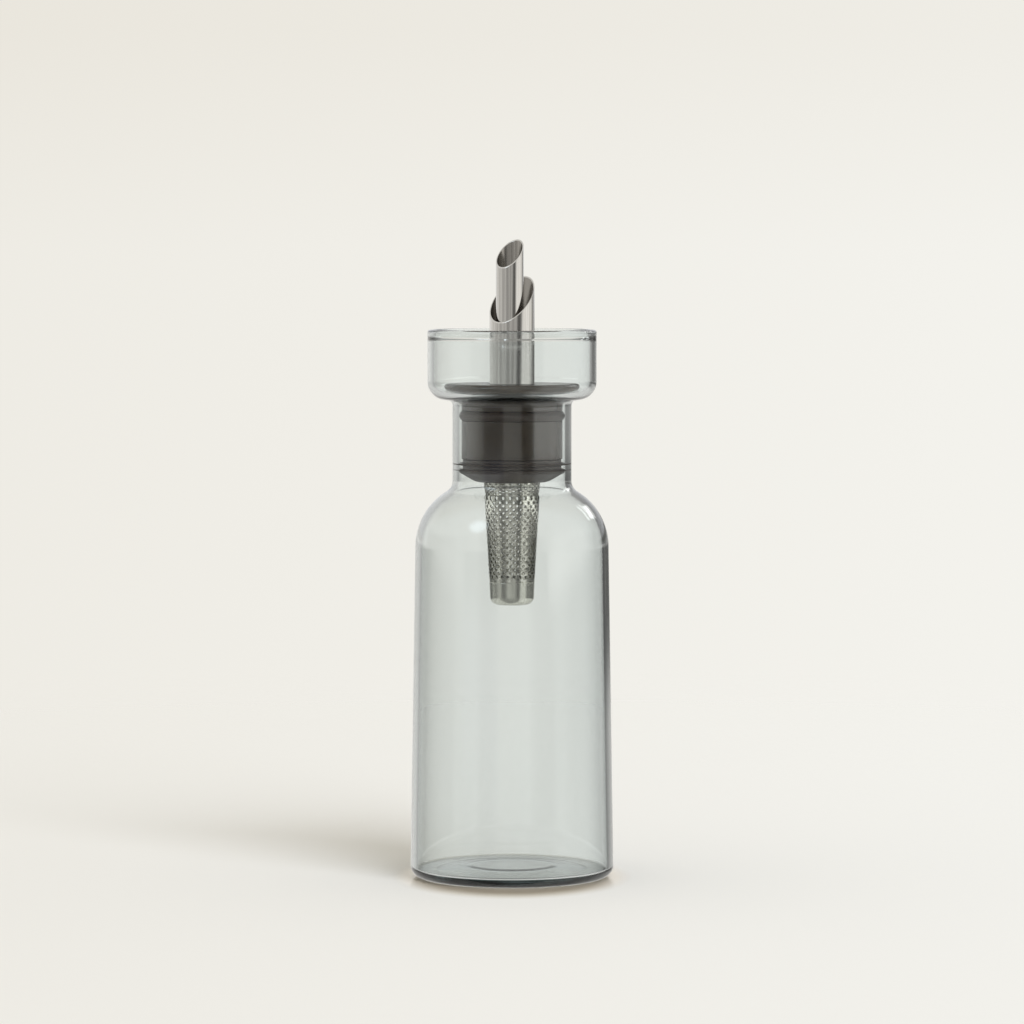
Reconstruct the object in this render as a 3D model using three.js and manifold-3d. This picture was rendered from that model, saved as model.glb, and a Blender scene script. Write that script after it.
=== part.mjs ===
// Oil and vinegar dispenser: a blown glass bottle with a flared cup, a sealed stopper that carries
// a tube-in-tube pouring spout, and a perforated strainer below it.
// Millimetres, +Z up. The origin is the centre of the foot, and +X is the way the spout pours.

import * as THREE from "three";
import { mergeVertices } from "three/addons/utils/BufferGeometryUtils.js";
import Module from "manifold-3d";

// Glass bottle, outside
const footRadius = 33.2;
const bodyTopRadius = 31.3;
const bodyHeight = 119.35; // up to where the side and the shoulder would meet
const shoulderRise = 33; // degrees
const shoulderRound = 21;
const heelRound = 3.6;
const neckRadius = 19.35;
const neckLength = 28.05;
const neckFootRound = 1.6;
const neckTopRound = 1.6;
const cupRadius = 27.5;
const cupHeight = 23.3; // from the top of the neck to the rim
const cupFloorRise = 10; // degrees
const cupRound = 6;

// Glass thicknesses, the fire-polished rim and the foot
const glassWall = 2;
const floorThickness = 2.8;
const floorRound = 3;
const rimBead = 0.6;
const rimBeadHeight = 2.6;
const beadRound = 0.9;
const rimRound = 1.1;
const puntRadius = 14;
const puntRise = 1.1;
const footRingWidth = 5;

// Stopper plug
const flangeRadius = 22.1;
const flangeThickness = 3.3;
const flangeRound = 1.6;
const plugLength = 28.64; // from the flange down to the nose of the lower seal
const plugRound = 0.5;
const shaftGap = 0.9; // between the plug and the neck
const sealGap = 0.15; // between a seal's lip and the neck
const seatGap = 0.15; // between faces that rest on each other
const fitGap = 0.12; // round pieces that are pushed into each other

// Upper seal, in a groove of the plug
const grooveDepth = 1.8;
const grooveWidth = 3.2;
const grooveDrop = 5.4; // from the flange to the groove
const lipThickness = 0.6;

// Lower seal, over the end of the plug
const coreInset = 4.6; // how much thinner the plug is inside the seal
const collarStep = 0.7; // bead that keeps the seal on
const collarHeight = 1.6;
const noseThickness = 1.6;
const noseHeight = 4.2;
const noseRadius = 11.8; // where the nose starts to slope
const noseRise = 3.4; // height of the slope
const noseRound = 6;
const noseEdgeRound = 1.6;
const finPitch = 1.75;
const finThickness = 0.5;
const finRootThickness = 1.1;
const finDepth = 1.2;
const sealHeight = 7.4;

// Pouring spout
const dripRadius = 7.3;
const dripRise = 27.33; // from the flange to the middle of the slanted cut
const pourRadius = 4.5;
const pourRise = 42.17;
const pourOffset = 1.3; // the inner tube sits back from the pouring side
const tubeWall = 0.4;
const lipAngle = 46.3; // degrees
const ledgeDrop = 22; // from the flange to the ledge that carries the tubes
const ledgeWidth = 1.1;
const ledgeThickness = 2.6;

// Spacer bush between the two tubes
const spacerHeight = 6;
const returnHoleRadius = 0.95;
const returnHoleAngle = 40; // degrees
const returnHoleCount = 3;

// Strainer
const strainerRadius = 9.15;
const strainerEndRadius = 7.4;
const strainerFootRadius = 7.1;
const strainerLength = 40; // below the plug
const strainerSheet = 0.5;
const strainerRimDrop = 1.2; // plain rim that shows below the plug
const strainerFootRound = 2.6;
const bandHeight = 7.5; // plain drawn end
const spigotHeight = 1.6; // lip of the end inside the sleeve
const holeRadius = 0.8;
const holesPerRow = 22;
const holeRows = 12;
const holeMargin = 1.3; // from the outer rows to the plain ends

// Facets
const bottleSides = 36;
const plugSides = 36;
const tubeSides = 24;
const smallSides = 8;
const arcDeviation = 0.14; // between a rounding and its facets
const weldDistance = 1e-4;
const cutterOversize = 3; // how many times larger a cutter is than what it cuts

const wasm = await Module();
wasm.setup();

const radians = THREE.MathUtils.degToRad;

// Corners are [radius, height, rounding].
function cornerPoint(corner) {
  return new THREE.Vector2(corner[0], corner[1]);
}

// Length that each rounding takes from its two sides, cut back where two roundings would meet
function roundingLengths(corners) {
  const wanted = corners.map((corner, i) => {
    if (!corner[2]) return 0;
    const before = cornerPoint(corners[i - 1]).sub(cornerPoint(corner));
    const after = cornerPoint(corners[i + 1]).sub(cornerPoint(corner));
    return corner[2] / Math.tan(before.angleTo(after) / 2);
  });
  const share = corners.map(() => 1);
  for (let i = 1; i < corners.length; i += 1) {
    const side = cornerPoint(corners[i]).distanceTo(cornerPoint(corners[i - 1]));
    const taken = wanted[i] + wanted[i - 1];
    if (taken > side) {
      share[i] = Math.min(share[i], side / taken);
      share[i - 1] = Math.min(share[i - 1], side / taken);
    }
  }
  return wanted.map((length, i) => length * share[i]);
}

// Outline through the corners, with an arc at each one that has a rounding
function roundedOutline(corners) {
  const lengths = roundingLengths(corners);
  const points = [];
  corners.forEach((corner, i) => {
    const here = cornerPoint(corner);
    if (!lengths[i]) {
      points.push(here);
      return;
    }
    const before = cornerPoint(corners[i - 1]).sub(here).normalize();
    const after = cornerPoint(corners[i + 1]).sub(here).normalize();
    const opening = before.angleTo(after);
    const turn = (Math.PI - opening) * Math.sign(after.cross(before));
    const middle = before.clone().add(after).normalize();
    const centre = here.clone().addScaledVector(middle, lengths[i] / Math.cos(opening / 2));
    const start = here.clone().addScaledVector(before, lengths[i]);
    const radius = centre.distanceTo(start);
    const arcStep = 2 * Math.acos(Math.max(1 - arcDeviation / radius, 0));
    const steps = Math.ceil(Math.abs(turn) / arcStep);
    for (let k = 0; k <= steps; k += 1) {
      points.push(start.clone().rotateAround(centre, (turn * k) / steps));
    }
  });
  return points;
}

// The same outline moved inwards by a wall, with its roundings kept concentric
function insetOutline(corners, wall) {
  const inward = (from, to) => {
    const along = cornerPoint(to).sub(cornerPoint(from)).normalize();
    return new THREE.Vector2(-along.y, along.x);
  };
  return corners.map((corner, i) => {
    const first = inward(corners[Math.max(i - 1, 0)], corners[Math.max(i, 1)]);
    const last = Math.min(i, corners.length - 2);
    const second = inward(corners[last], corners[last + 1]);
    const shift = first.clone().add(second).multiplyScalar(wall / (1 + first.dot(second)));
    const moved = cornerPoint(corner).add(shift);
    const bend = Math.sign(first.cross(second));
    return [moved.x, moved.y, Math.max(corner[2] - bend * wall, 0)];
  });
}

// A turned piece: an outline that starts and ends on the axis, or a closed ring
function revolve(corners, sides, firstSide = 0) {
  const geometry = new THREE.LatheGeometry(roundedOutline(corners), sides, firstSide);
  return geometry.rotateX(Math.PI / 2);
}

function revolveRing(corners, sides, firstSide = 0) {
  return revolve([...corners, corners[0]], sides, firstSide);
}

function toSolid(geometry) {
  const bare = geometry.clone();
  bare.deleteAttribute("normal");
  bare.deleteAttribute("uv");
  const welded = mergeVertices(bare, weldDistance);
  return new wasm.Manifold(
    new wasm.Mesh({
      numProp: 3,
      vertProperties: new Float32Array(welded.attributes.position.array),
      triVerts: new Uint32Array(welded.index.array),
    }),
  );
}

function toGeometry(solid) {
  const mesh = solid.getMesh();
  const geometry = new THREE.BufferGeometry();
  geometry.setAttribute("position", new THREE.BufferAttribute(mesh.vertProperties, mesh.numProp));
  geometry.setIndex(new THREE.BufferAttribute(mesh.triVerts, 1));
  return geometry;
}

const materials = {
  glass: { color: 0xcfdad3, roughness: 0.03, metalness: 0, transparent: true, opacity: 0.4 },
  plug: { color: 0x4a4744, roughness: 0.55, metalness: 0 },
  seal: { color: 0x37322f, roughness: 0.7, metalness: 0 },
  steel: { color: 0xc6c4bf, roughness: 0.28, metalness: 1 },
  bush: { color: 0x2f2e2d, roughness: 0.6, metalness: 0 },
};

function addPiece(group, name, geometry, material) {
  const piece = new THREE.Mesh(geometry, new THREE.MeshStandardMaterial(materials[material]));
  piece.name = name;
  group.add(piece);
}

// Heights and radii that more than one piece uses
const shoulderHeight = bodyHeight + (bodyTopRadius - neckRadius) * Math.tan(radians(shoulderRise));
const neckTop = shoulderHeight + neckLength;
const neckBore = neckRadius - glassWall;
const floorSlope = Math.tan(radians(cupFloorRise));
const floorLift = glassWall / Math.cos(radians(cupFloorRise));

const flangeSeatRadius = flangeRadius - flangeRound;
const flangeBottom = neckTop + (flangeSeatRadius - neckRadius) * floorSlope + floorLift + seatGap;
const flangeTop = flangeBottom + flangeThickness;
const noseBottom = flangeBottom - plugLength;
const plugEnd = noseBottom + noseThickness + fitGap;
const ledgeTop = flangeTop - ledgeDrop;
const ledgeBottom = ledgeTop - ledgeThickness;

const shaftRadius = neckBore - shaftGap;
const finRadius = neckBore - sealGap;
const coreRadius = shaftRadius - coreInset;
const sealTop = noseBottom + sealHeight;
const spoutBore = dripRadius + fitGap;
const ledgeRadius = spoutBore - ledgeWidth;
const strainerBore = strainerRadius + fitGap;

function glassBottle() {
  const outside = [
    [footRadius, 0, heelRound],
    [bodyTopRadius, bodyHeight, shoulderRound],
    [neckRadius, shoulderHeight, neckFootRound],
    [neckRadius, neckTop, neckTopRound],
    [cupRadius, neckTop + (cupRadius - neckRadius) * floorSlope, cupRound],
    [cupRadius, neckTop + cupHeight, rimRound],
  ];
  const inside = insetOutline(outside, glassWall).slice(1, -1).reverse();
  const rimHeight = neckTop + cupHeight;
  const beadRadius = cupRadius - glassWall - rimBead;
  const beadFoot = rimHeight - rimBeadHeight;
  const ringRadius = footRadius - heelRound - footRingWidth;
  return revolve(
    [
      [0, puntRise, 0],
      [puntRadius, puntRise, puntRadius],
      [ringRadius, 0, 0],
      ...outside,
      [beadRadius, rimHeight, rimRound],
      [beadRadius, beadFoot, beadRound],
      [beadRadius + rimBead, beadFoot - rimBead, beadRound],
      ...inside,
      [footRadius - glassWall, floorThickness, floorRound],
      [ringRadius, floorThickness, puntRadius],
      [puntRadius, floorThickness + puntRise, puntRadius],
      [0, floorThickness + puntRise, 0],
    ],
    bottleSides,
  );
}

function stopperPlug() {
  const grooveTop = flangeBottom - grooveDrop;
  const grooveBottom = grooveTop - grooveWidth;
  const grooveRadius = shaftRadius - grooveDepth;
  const collarTop = plugEnd + collarHeight;
  const sealStep = sealTop + seatGap;
  return revolveRing(
    [
      [strainerBore, plugEnd, 0],
      [coreRadius + collarStep, plugEnd, plugRound],
      [coreRadius + collarStep, collarTop, 0],
      [coreRadius, collarTop, 0],
      [coreRadius, sealStep, 0],
      [shaftRadius, sealStep, plugRound],
      [shaftRadius, grooveBottom, 0],
      [grooveRadius, grooveBottom, 0],
      [grooveRadius, grooveTop, 0],
      [shaftRadius, grooveTop, 0],
      [shaftRadius, flangeBottom, plugRound],
      [flangeRadius, flangeBottom, flangeRound],
      [flangeRadius, flangeTop, flangeRound],
      [spoutBore, flangeTop, 0],
      [spoutBore, ledgeTop, 0],
      [ledgeRadius, ledgeTop, 0],
      [ledgeRadius, ledgeBottom, 0],
      [strainerBore, ledgeBottom, 0],
    ],
    plugSides,
  );
}

function upperSeal() {
  const top = flangeBottom - grooveDrop - fitGap;
  const bottom = top - grooveWidth + 2 * fitGap;
  const middle = (top + bottom) / 2;
  const innerRadius = shaftRadius - grooveDepth + fitGap;
  return revolveRing(
    [
      [innerRadius, bottom, 0],
      [shaftRadius, bottom, 0],
      [finRadius, middle - lipThickness / 2, 0],
      [finRadius, middle + lipThickness / 2, 0],
      [shaftRadius, top, 0],
      [innerRadius, top, 0],
    ],
    plugSides,
  );
}

function lowerSeal() {
  const rootRadius = finRadius - finDepth;
  const noseTop = noseBottom + noseHeight;
  const finMiddle = noseTop + finPitch;
  const rootHalf = finRootThickness / 2;
  const tipHalf = finThickness / 2;
  const collarRadius = coreRadius + collarStep + fitGap;
  const collarTop = plugEnd + collarHeight + fitGap;
  const noseInside = noseBottom + noseThickness;
  return revolveRing(
    [
      [strainerBore, noseBottom, 0],
      [noseRadius, noseBottom, noseRound],
      [finRadius, noseBottom + noseRise, noseEdgeRound],
      [finRadius, noseTop, 0],
      [rootRadius, noseTop + tipHalf, 0],
      [rootRadius, finMiddle - rootHalf, 0],
      [finRadius, finMiddle - tipHalf, 0],
      [finRadius, finMiddle + tipHalf, 0],
      [rootRadius, finMiddle + rootHalf, 0],
      [rootRadius, sealTop, 0],
      [coreRadius + fitGap, sealTop, 0],
      [coreRadius + fitGap, collarTop, 0],
      [collarRadius, collarTop, 0],
      [collarRadius, noseInside, 0],
      [strainerBore, noseInside, 0],
    ],
    plugSides,
  );
}

// A tube cut off by a plane that climbs towards the pouring side
function slantedTube(radius, foot, cutMiddle) {
  const reach = radius * Math.tan(radians(lipAngle));
  const top = cutMiddle + 2 * reach;
  const tube = revolveRing(
    [
      [radius - tubeWall, foot, 0],
      [radius, foot, 0],
      [radius, top, 0],
      [radius - tubeWall, top, 0],
    ],
    tubeSides,
  );
  const blockSize = 2 * cutterOversize * (radius + reach);
  const block = new THREE.BoxGeometry(blockSize, blockSize, blockSize);
  block.translate(0, 0, blockSize / 2);
  block.rotateY(-radians(lipAngle));
  block.translate(0, 0, cutMiddle);
  return toGeometry(toSolid(tube).subtract(toSolid(block)));
}

function dripTube() {
  return slantedTube(dripRadius, ledgeTop + seatGap, flangeTop + dripRise);
}

function pourTube() {
  const tube = slantedTube(pourRadius, ledgeBottom, flangeTop + pourRise);
  return tube.translate(-pourOffset, 0, 0);
}

// Round cutter that stands upright
function uprightCutter(radius, height, sides) {
  return new THREE.CylinderGeometry(radius, radius, height, sides).rotateX(Math.PI / 2);
}

function tubeSpacer() {
  const outerRadius = dripRadius - tubeWall - fitGap;
  const boreRadius = pourRadius + fitGap;
  const foot = ledgeTop + seatGap;
  const cutterHeight = cutterOversize * spacerHeight;
  const middle = foot + spacerHeight / 2;
  const disc = uprightCutter(outerRadius, spacerHeight, tubeSides).translate(0, 0, middle);
  const bore = uprightCutter(boreRadius, cutterHeight, tubeSides).translate(-pourOffset, 0, middle);
  let spacer = toSolid(disc).subtract(toSolid(bore));
  for (let i = 0; i < returnHoleCount; i += 1) {
    const angle = radians(returnHoleAngle) * (i - (returnHoleCount - 1) / 2);
    const across = pourOffset * Math.sin(angle);
    const boreEdge = Math.sqrt(boreRadius ** 2 - across ** 2) - pourOffset * Math.cos(angle);
    const holeReach = (boreEdge + outerRadius) / 2;
    const hole = uprightCutter(returnHoleRadius, cutterHeight, smallSides);
    hole.translate(holeReach * Math.cos(angle), holeReach * Math.sin(angle), middle);
    spacer = spacer.subtract(toSolid(hole));
  }
  return toGeometry(spacer);
}

const strainerBottom = noseBottom - strainerLength;
const bandTop = strainerBottom + bandHeight;
const sleeveFoot = bandTop + fitGap;
const taperTop = noseBottom - strainerRimDrop;
const columnAngle = (2 * Math.PI) / holesPerRow;
const strainerTurn = (Math.PI + columnAngle) / 2; // sets a flat side of the strainer behind each hole

// Outside radius of the sleeve at a height: a plain rim above, a taper below
function sleeveRadius(height) {
  const climb = (height - bandTop) / (taperTop - bandTop);
  return THREE.MathUtils.lerp(strainerEndRadius, strainerRadius, Math.min(climb, 1));
}

// A thin sheet wrapped round the axis, laid out by spots given as [columns round, height]
function wrappedSheet() {
  const corners = [];
  const addTriangle = (...spots) => {
    spots.forEach(([column, height, depth]) => {
      const radius = sleeveRadius(height) - depth;
      const angle = column * columnAngle;
      corners.push(radius * Math.cos(angle), radius * Math.sin(angle), height);
    });
  };
  const outer = ([column, height]) => [column, height, 0];
  const inner = ([column, height]) => [column, height, strainerSheet];
  return {
    // A fan of facets on both faces, counter-clockwise as seen from outside
    addPanel(first, ...others) {
      for (let i = 1; i < others.length; i += 1) {
        addTriangle(outer(first), outer(others[i - 1]), outer(others[i]));
        addTriangle(inner(first), inner(others[i]), inner(others[i - 1]));
      }
    },
    // The cut edge of the sheet, with the opening on its right
    addEdge(from, to) {
      addTriangle(outer(from), outer(to), inner(to));
      addTriangle(outer(from), inner(to), inner(from));
    },
    geometry() {
      const soup = new THREE.BufferGeometry();
      soup.setAttribute("position", new THREE.Float32BufferAttribute(corners, 3));
      return mergeVertices(soup, weldDistance);
    },
  };
}

// Tapered sheet with staggered diamond holes: each web is woven between the corners of the holes round it
function strainerSleeve() {
  const sheet = wrappedSheet();
  const rimTop = ledgeBottom - seatGap;
  const lowEdge = sleeveFoot + spigotHeight;
  const highEdge = taperTop;
  const firstRow = lowEdge + holeMargin;
  const rowPitch = (highEdge - holeMargin - firstRow) / (holeRows - 1);
  const stagger = (row) => (row % 2) / 2;

  const holeAt = (row, column) => {
    const height = firstRow + row * rowPitch;
    const middle = column + stagger(row);
    const half = holeRadius / (sleeveRadius(height) * columnAngle);
    return {
      middle,
      left: [middle - half, height],
      right: [middle + half, height],
      top: [middle, height + holeRadius],
      bottom: [middle, height - holeRadius],
    };
  };
  const beside = (hole, row, side) => holeAt(row, hole.middle + side / 2 - stagger(row));

  for (let row = 0; row < holeRows; row += 1) {
    for (let column = 0; column < holesPerRow; column += 1) {
      const hole = holeAt(row, column);
      const next = holeAt(row, column + 1);
      const between = hole.middle + 1 / 2;
      const below = row > 0 ? beside(hole, row - 1, 1).top : [between, lowEdge];
      const above = row < holeRows - 1 ? beside(hole, row + 1, 1).bottom : [between, highEdge];
      sheet.addPanel(below, next.left, above, hole.right);
      sheet.addEdge(hole.right, hole.top);
      sheet.addEdge(hole.top, hole.left);
      sheet.addEdge(hole.left, hole.bottom);
      sheet.addEdge(hole.bottom, hole.right);
      if (row < holeRows - 1) {
        const upRight = beside(hole, row + 1, 1);
        const upLeft = beside(hole, row + 1, -1);
        sheet.addPanel(hole.right, upRight.bottom, upRight.left, hole.top);
        sheet.addPanel(hole.left, hole.top, upLeft.right, upLeft.bottom);
      }
    }
  }

  const lastStagger = stagger(holeRows - 1);
  for (let column = 0; column < holesPerRow; column += 1) {
    const lowHole = holeAt(0, column);
    const lowLeft = column - 1 / 2;
    const lowRight = column + 1 / 2;
    sheet.addPanel(lowHole.bottom, lowHole.left, [lowLeft, lowEdge], [lowRight, lowEdge], lowHole.right);
    sheet.addPanel([lowLeft, sleeveFoot], [lowRight, sleeveFoot], [lowRight, lowEdge], [lowLeft, lowEdge]);
    sheet.addEdge([lowRight, sleeveFoot], [lowLeft, sleeveFoot]);

    const highHole = holeAt(holeRows - 1, column);
    const highLeft = column + lastStagger - 1 / 2;
    const highRight = column + lastStagger + 1 / 2;
    sheet.addPanel(highHole.top, highHole.right, [highRight, highEdge], [highLeft, highEdge], highHole.left);
    sheet.addPanel([highLeft, highEdge], [highRight, highEdge], [highRight, rimTop], [highLeft, rimTop]);
    sheet.addEdge([highLeft, rimTop], [highRight, rimTop]);
  }
  return sheet.geometry();
}

function strainerBase() {
  const spigotRadius = sleeveRadius(sleeveFoot) - strainerSheet - fitGap;
  const spigotTop = bandTop + spigotHeight;
  const innerRound = Math.max(strainerFootRound - strainerSheet, 0);
  const innerFloor = strainerBottom + strainerSheet;
  return revolve(
    [
      [0, strainerBottom, 0],
      [strainerFootRadius, strainerBottom, strainerFootRound],
      [strainerEndRadius, bandTop, 0],
      [spigotRadius, bandTop, 0],
      [spigotRadius, spigotTop, 0],
      [spigotRadius - strainerSheet, spigotTop, 0],
      [strainerFootRadius - strainerSheet, innerFloor, innerRound],
      [0, innerFloor, 0],
    ],
    holesPerRow,
    strainerTurn,
  );
}

const dispenser = new THREE.Group();
addPiece(dispenser, "glass_bottle", glassBottle(), "glass");
addPiece(dispenser, "stopper_plug", stopperPlug(), "plug");
addPiece(dispenser, "upper_seal", upperSeal(), "seal");
addPiece(dispenser, "lower_seal", lowerSeal(), "seal");
addPiece(dispenser, "drip_tube", dripTube(), "steel");
addPiece(dispenser, "pour_tube", pourTube(), "steel");
addPiece(dispenser, "tube_spacer", tubeSpacer(), "bush");
addPiece(dispenser, "strainer_sleeve", strainerSleeve(), "steel");
addPiece(dispenser, "strainer_base", strainerBase(), "steel");

export default dispenser;
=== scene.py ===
import math

import bmesh
import bpy
from mathutils import Matrix, Vector


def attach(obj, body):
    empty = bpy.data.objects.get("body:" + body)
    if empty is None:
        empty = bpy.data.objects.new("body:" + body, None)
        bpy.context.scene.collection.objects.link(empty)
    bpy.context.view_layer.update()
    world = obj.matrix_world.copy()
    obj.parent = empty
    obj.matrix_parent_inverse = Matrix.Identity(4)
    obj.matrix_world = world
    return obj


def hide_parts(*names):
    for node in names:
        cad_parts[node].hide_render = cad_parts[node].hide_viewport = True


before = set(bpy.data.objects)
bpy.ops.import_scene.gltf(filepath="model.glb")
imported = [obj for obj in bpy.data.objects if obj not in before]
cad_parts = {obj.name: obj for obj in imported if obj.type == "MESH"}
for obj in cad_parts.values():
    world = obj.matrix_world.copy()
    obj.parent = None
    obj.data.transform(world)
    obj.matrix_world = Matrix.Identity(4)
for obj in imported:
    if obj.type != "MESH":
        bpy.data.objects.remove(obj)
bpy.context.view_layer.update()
print("frame loaded")

mm = 0.001
tiny = 1e-7  # metres, closer than any two points of a piece
upAxis = Vector((0, 0, 1))


# Outlines: corners are (radius, height, rounding) in millimetres

def cornerPoint(corner):
    return Vector(corner[:2])


def roundingLengths(corners, closed):
    count = len(corners)
    wanted = []
    for i, corner in enumerate(corners):
        rounding = corner[2]
        if not rounding:
            wanted.append(0)
            continue
        here = cornerPoint(corner)
        before = cornerPoint(corners[i - 1]) - here
        after = cornerPoint(corners[(i + 1) % count]) - here
        wanted.append(rounding / math.tan(before.angle(after) / 2))
    # where two roundings meet on a side that is too short for both, both give way
    share = [1] * count
    for i in range(0 if closed else 1, count):
        side = (cornerPoint(corners[i]) - cornerPoint(corners[i - 1])).length
        taken = wanted[i] + wanted[i - 1]
        if taken > side:
            share[i] = min(share[i], side / taken)
            share[i - 1] = min(share[i - 1], side / taken)
    return [length * part for length, part in zip(wanted, share)]


def roundedOutline(corners, closed=False, arcStep=6, longest=4, nearEnd=0.3):
    count = len(corners)
    lengths = roundingLengths(corners, closed)
    arcs = []
    for i, corner in enumerate(corners):
        here = cornerPoint(corner)
        if not lengths[i]:
            arcs.append([here])
            continue
        before = (cornerPoint(corners[i - 1]) - here).normalized()
        after = (cornerPoint(corners[(i + 1) % count]) - here).normalized()
        opening = before.angle(after)
        turn = math.pi - opening
        if after.cross(before) < 0:
            turn = -turn
        centre = here + (before + after).normalized() * (lengths[i] / math.cos(opening / 2))
        spoke = here + before * lengths[i] - centre
        steps = max(2, math.ceil(math.degrees(abs(turn)) / arcStep))
        arcs.append([centre + Matrix.Rotation(turn * k / steps, 2) @ spoke for k in range(steps + 1)])
    # a straight stretch gets a point near each end, and more between them where it is long
    points = []
    for i, arc in enumerate(arcs):
        points.extend(arc)
        if i == count - 1 and not closed:
            break
        start, end = arc[-1], arcs[(i + 1) % count][0]
        length = (end - start).length
        if length > 3 * nearEnd:
            inner = length - 2 * nearEnd
            steps = max(1, math.ceil(inner / longest))
            for k in range(steps + 1):
                points.append(start.lerp(end, (nearEnd + inner * k / steps) / length))
    return points


def insetCorners(corners, wall):
    lastSide = len(corners) - 2
    moved = []
    for i, corner in enumerate(corners):
        normals = []
        for side in (min(max(i - 1, 0), lastSide), min(i, lastSide)):
            along = (cornerPoint(corners[side + 1]) - cornerPoint(corners[side])).normalized()
            normals.append(Vector((-along.y, along.x)))
        first, second = normals
        place = cornerPoint(corner) + (first + second) * (wall / (1 + first.dot(second)))
        bend = first.cross(second)
        way = (bend > 0) - (bend < 0)
        moved.append((place.x, place.y, max(corner[2] - way * wall, 0)))
    return moved


def spunMesh(points, steps, closed=False):
    bm = bmesh.new()
    chain = [bm.verts.new((p.x * mm, 0, p.y * mm)) for p in points]
    edges = [bm.edges.new(pair) for pair in zip(chain, chain[1:])]
    if closed:
        edges.append(bm.edges.new((chain[-1], chain[0])))
    bmesh.ops.spin(bm, geom=chain + edges, cent=(0, 0, 0), axis=upAxis, angle=2 * math.pi,
                   steps=steps, use_merge=True)
    bmesh.ops.remove_doubles(bm, verts=bm.verts, dist=tiny)
    bmesh.ops.recalc_face_normals(bm, faces=bm.faces)
    return bm


def outwardFacing(face):
    middle = face.calc_center_median()
    return face.normal.dot(Vector((middle.x, middle.y, 0)).normalized())


def finishPiece(bm, name, body, node, material, sharpAngle=None):
    mesh = bpy.data.meshes.new(name)
    for face in bm.faces:
        face.smooth = True
    if sharpAngle:
        for edge in bm.edges:
            if len(edge.link_faces) == 2 and edge.calc_face_angle() > math.radians(sharpAngle):
                edge.smooth = False
    bm.to_mesh(mesh)
    bm.free()
    piece = bpy.data.objects.new(name, mesh)
    bpy.context.scene.collection.objects.link(piece)
    mesh.materials.append(material)
    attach(piece, body)
    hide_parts(node)
    return piece


# Shader nodes

def addNode(tree, kind, inputs=None, **settings):
    node = tree.nodes.new(kind)
    for key, value in settings.items():
        setattr(node, key, value)
    for key, value in (inputs or {}).items():
        socket = node.inputs[key]
        if isinstance(value, bpy.types.NodeSocket):
            tree.links.new(value, socket)
        else:
            socket.default_value = value
    return node


def mathNode(tree, operation, first, second=0.0, third=0.0, clamp=False):
    node = addNode(tree, "ShaderNodeMath", {0: first, 1: second, 2: third}, operation=operation)
    node.use_clamp = clamp
    return node.outputs[0]


def mixColour(tree, factor, first, second):
    # inputs 6 and 7 are the two colours, and output 2 is their mix
    return addNode(tree, "ShaderNodeMix", {0: factor, 6: first, 7: second}, data_type="RGBA").outputs[2]


def opaque(colour):
    return (*colour, 1)


def makeGrainGroup():
    group = bpy.data.node_groups.new("grain", "ShaderNodeTree")
    inputs = (("Vector", "Vector"), ("Stretch", "Vector"), ("Detail", "Float"), ("Depth", "Float"))
    for name, kind in inputs:
        group.interface.new_socket(name, in_out="INPUT", socket_type="NodeSocket" + kind)
    for name, kind in (("Value", "Float"), ("Normal", "Vector")):
        group.interface.new_socket(name, in_out="OUTPUT", socket_type="NodeSocket" + kind)
    source = addNode(group, "NodeGroupInput")
    stretched = addNode(group, "ShaderNodeVectorMath",
                        {0: source.outputs["Vector"], 1: source.outputs["Stretch"]}, operation="MULTIPLY")
    noise = addNode(group, "ShaderNodeTexNoise",
                    {"Vector": stretched.outputs[0], "Scale": 1.0, "Detail": source.outputs["Detail"]})
    bump = addNode(group, "ShaderNodeBump",
                   {"Height": noise.outputs["Fac"], "Distance": source.outputs["Depth"], "Strength": 1.0})
    addNode(group, "NodeGroupOutput", {"Value": noise.outputs["Fac"], "Normal": bump.outputs["Normal"]})
    return group


grainGroup = makeGrainGroup()
noiseRange = {"From Min": 0.3, "From Max": 0.7}  # where nearly all of the noise lies
broadGrain = {"share": 0.15, "detail": 2.0}  # the slow change of gloss, beside the grain's own fineness


def newMaterial(name):
    material = bpy.data.materials.new(name)
    material.use_nodes = True
    tree = material.node_tree
    tree.nodes.clear()
    output = addNode(tree, "ShaderNodeOutputMaterial")
    place = addNode(tree, "ShaderNodeTexCoord").outputs["Object"]
    return material, tree, output, place


def addGrain(tree, place, stretch, detail, depth):
    values = {"Vector": place, "Stretch": stretch, "Detail": detail, "Depth": depth}
    return addNode(tree, "ShaderNodeGroup", values, node_tree=grainGroup)


def spread(tree, value, low, high):
    return addNode(tree, "ShaderNodeMapRange",
                   {"Value": value, "To Min": low, "To Max": high, **noiseRange}).outputs[0]


def grainMaterial(name, dark, light, roughness, stretch, detail, depth, metallic, specular=0.5):
    material, tree, output, place = newMaterial(name)
    grain = addGrain(tree, place, stretch, detail, depth)
    broadStretch = [part * broadGrain["share"] for part in stretch]
    broad = addGrain(tree, place, broadStretch, broadGrain["detail"], depth)
    tone = mixColour(tree, spread(tree, grain.outputs["Value"], 0.0, 1.0), opaque(dark), opaque(light))
    rough = spread(tree, broad.outputs["Value"], *roughness)
    shader = addNode(tree, "ShaderNodeBsdfPrincipled",
                     {"Base Color": tone, "Roughness": rough, "Normal": grain.outputs["Normal"],
                      "Metallic": metallic, "Specular IOR Level": specular})
    tree.links.new(shader.outputs[0], output.inputs["Surface"])
    return material


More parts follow.
